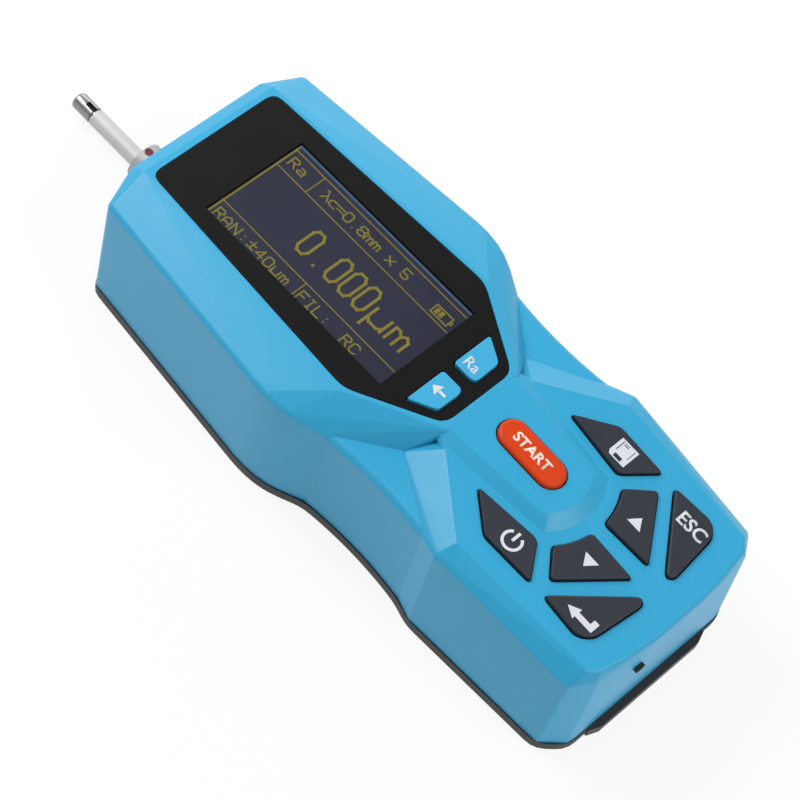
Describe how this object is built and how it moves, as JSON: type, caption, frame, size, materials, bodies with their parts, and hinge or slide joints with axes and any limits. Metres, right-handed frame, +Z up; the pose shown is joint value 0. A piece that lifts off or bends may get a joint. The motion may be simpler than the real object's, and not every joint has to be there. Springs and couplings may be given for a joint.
{
  "type": "surface roughness tester",
  "caption": "Hand-held surface roughness tester: waisted moulded housing, dark display window, angled keys and a slim sprung pickup that traverses at one end.",
  "frame": {"origin": "middle of the housing's length on the flat underside of the base cover", "axes": "+X from the pickup end to the keypad end, +Z up out of the display, +Y to the left of someone looking along +X"},
  "size_m": [0.1781, 0.064, 0.0366],
  "materials": {
    "housing_blue": "semi-gloss moulded plastic",
    "base_black": "fine-grain moulded plastic",
    "window_black": "glossy printed window",
    "screen": "dark display panel",
    "soft_blue": "light moulded plastic",
    "key_grey": "satin silicone rubber",
    "start_orange": "semi-gloss plastic",
    "board_green": "solder mask",
    "battery_grey": "shrink sleeve",
    "dark_plastic": "moulded plastic",
    "frame_metal": "milled",
    "steel": "ground",
    "satin_steel": "satin turned",
    "polished_steel": "polished",
    "brass": "cut",
    "seal_red": "dark red"
  },
  "bodies": {
    "housing": {"upper_housing": "housing_blue", "base_cover": "base_black", "display_window": "window_black", "display_module": "screen", "display_board": "board_green", "keypad_board": "board_green", "key_switches": "steel", "main_board": "board_green", "battery_pack": "battery_grey", "charging_socket": "dark_plastic", "drive_frame": "frame_metal", "drive_motor": "steel", "guide_rods": "steel", "probe_collar": "polished_steel", "collar_mark": "seal_red", "housing_screws": "steel"},
    "soft_key_left": {"soft_key_left": "soft_blue"},
    "soft_key_right": {"soft_key_right": "soft_blue"},
    "start_key": {"start_key": "start_orange"},
    "power_key": {"power_key": "key_grey"},
    "save_key": {"save_key": "key_grey"},
    "down_key": {"down_key": "key_grey"},
    "up_key": {"up_key": "key_grey"},
    "enter_key": {"enter_key": "key_grey"},
    "escape_key": {"escape_key": "key_grey"},
    "carriage": {"carriage": "dark_plastic", "pickup_tube": "satin_steel", "pickup_nose": "polished_steel"},
    "screw": {"lead_screw": "steel", "screw_gear": "brass"},
    "pinion": {"motor_pinion": "brass"},
    "stylus": {"stylus_arm": "steel"}
  },
  "joints": [
    {"name": "soft_key_left_press", "type": "slide", "parent": "housing", "child": "soft_key_left", "axis": [0, 0, -1], "range_m": [0, 0.0006], "stiffness_N_per_m": 400},
    {"name": "soft_key_right_press", "type": "slide", "parent": "housing", "child": "soft_key_right", "axis": [0, 0, -1], "range_m": [0, 0.0006], "stiffness_N_per_m": 400},
    {"name": "start_key_press", "type": "slide", "parent": "housing", "child": "start_key", "axis": [-0.0593, 0, -0.9982], "range_m": [0, 0.0006], "stiffness_N_per_m": 400},
    {"name": "power_key_press", "type": "slide", "parent": "housing", "child": "power_key", "axis": [-0.0593, 0, -0.9982], "range_m": [0, 0.0006], "stiffness_N_per_m": 400},
    {"name": "save_key_press", "type": "slide", "parent": "housing", "child": "save_key", "axis": [-0.0593, 0, -0.9982], "range_m": [0, 0.0006], "stiffness_N_per_m": 400},
    {"name": "down_key_press", "type": "slide", "parent": "housing", "child": "down_key", "axis": [-0.0593, 0, -0.9982], "range_m": [0, 0.0006], "stiffness_N_per_m": 400},
    {"name": "up_key_press", "type": "slide", "parent": "housing", "child": "up_key", "axis": [-0.0593, 0, -0.9982], "range_m": [0, 0.0006], "stiffness_N_per_m": 400},
    {"name": "enter_key_press", "type": "slide", "parent": "housing", "child": "enter_key", "axis": [-0.0593, 0, -0.9982], "range_m": [0, 0.0006], "stiffness_N_per_m": 400},
    {"name": "escape_key_press", "type": "slide", "parent": "housing", "child": "escape_key", "axis": [-0.0593, 0, -0.9982], "range_m": [0, 0.0006], "stiffness_N_per_m": 400},
    {"name": "traverse", "type": "slide", "parent": "housing", "child": "carriage", "axis": [1, 0, 0], "range_m": [0, 0.0175]},
    {"name": "screw_turn", "type": "hinge", "parent": "housing", "child": "screw", "pos_m": [0, 0, 0.012], "axis": [1, 0, 0], "range_deg": [0, 2521]},
    {"name": "pinion_turn", "type": "hinge", "parent": "housing", "child": "pinion", "pos_m": [0, 0.01, 0.012], "axis": [1, 0, 0], "range_deg": [-3781, 0]},
    {"name": "stylus_tilt", "type": "hinge", "parent": "carriage", "child": "stylus", "pos_m": [-0.0997, 0, 0.004], "axis": [0, 1, 0], "range_deg": [-1.5, 1.5], "stiffness_Nm_per_rad": 0.002}
  ],
  "couplings": [
    {"joint": "screw_turn", "follows": "traverse", "rad_per_m": 2513.3},
    {"joint": "pinion_turn", "follows": "traverse", "rad_per_m": -3769.9}
  ]
}
